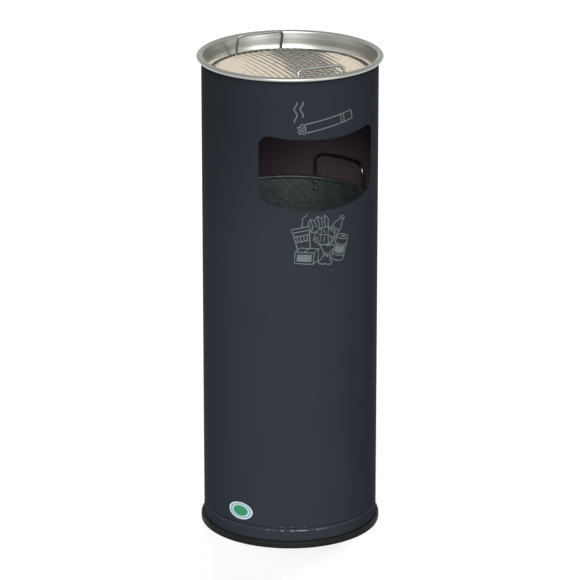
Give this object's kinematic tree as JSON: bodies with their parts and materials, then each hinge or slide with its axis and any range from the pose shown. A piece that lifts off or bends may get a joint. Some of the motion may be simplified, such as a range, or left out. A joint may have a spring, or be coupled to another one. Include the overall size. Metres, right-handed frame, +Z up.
{
  "type": "ashtray bin",
  "caption": "Free-standing round sheet-steel bin with a litter window and an inner bucket, topped by a lift-off sand ash bowl with a wire sieve.",
  "frame": {"origin": "centre of the circle that the foot ring stands on, on the floor", "axes": "+Z up along the body's axis, -Y towards the side that the litter window faces, +X to the right of someone facing the window"},
  "size_m": [0.2528, 0.2528, 0.6759],
  "materials": {
    "powder_coat": "anthracite powder coat, fine texture, satin",
    "floor_steel": "powder coated sheet, satin",
    "foot_plastic": "black moulded plastic, matt",
    "spun_aluminium": "spun, with fine turning lines",
    "quartz_sand": "loose dry sand",
    "sieve_wire": "zinc plated wire",
    "galvanised_sheet": "galvanised, spangled",
    "handle_wire": "bright drawn wire",
    "rivet_steel": "bright rivet"
  },
  "bodies": {
    "body": {"body_shell": "powder_coat", "floor_plate": "floor_steel", "foot_ring": "foot_plastic"},
    "bucket": {"bucket_wall": "galvanised_sheet", "bucket_bottom": "galvanised_sheet", "bucket_rim_wire": "handle_wire", "bucket_handle_right": "handle_wire", "bucket_handle_left": "handle_wire", "bucket_rivets": "rivet_steel"},
    "bowl": {"ash_bowl": "spun_aluminium", "sand_bed": "quartz_sand"},
    "sieve": {"sieve_mesh": "sieve_wire", "sieve_rim_wire": "sieve_wire", "sieve_handle_front": "sieve_wire", "sieve_handle_back": "sieve_wire"}
  },
  "joints": [
    {"name": "bucket_lift", "type": "slide", "parent": "body", "child": "bucket", "axis": [0, 0, 1], "range_m": [0, 0.66]},
    {"name": "bowl_lift", "type": "slide", "parent": "bucket", "child": "bowl", "axis": [0, 0, 1], "range_m": [0, 0.12]},
    {"name": "sieve_lift", "type": "slide", "parent": "bowl", "child": "sieve", "axis": [0, 0, 1], "range_m": [0, 0.08]}
  ]
}
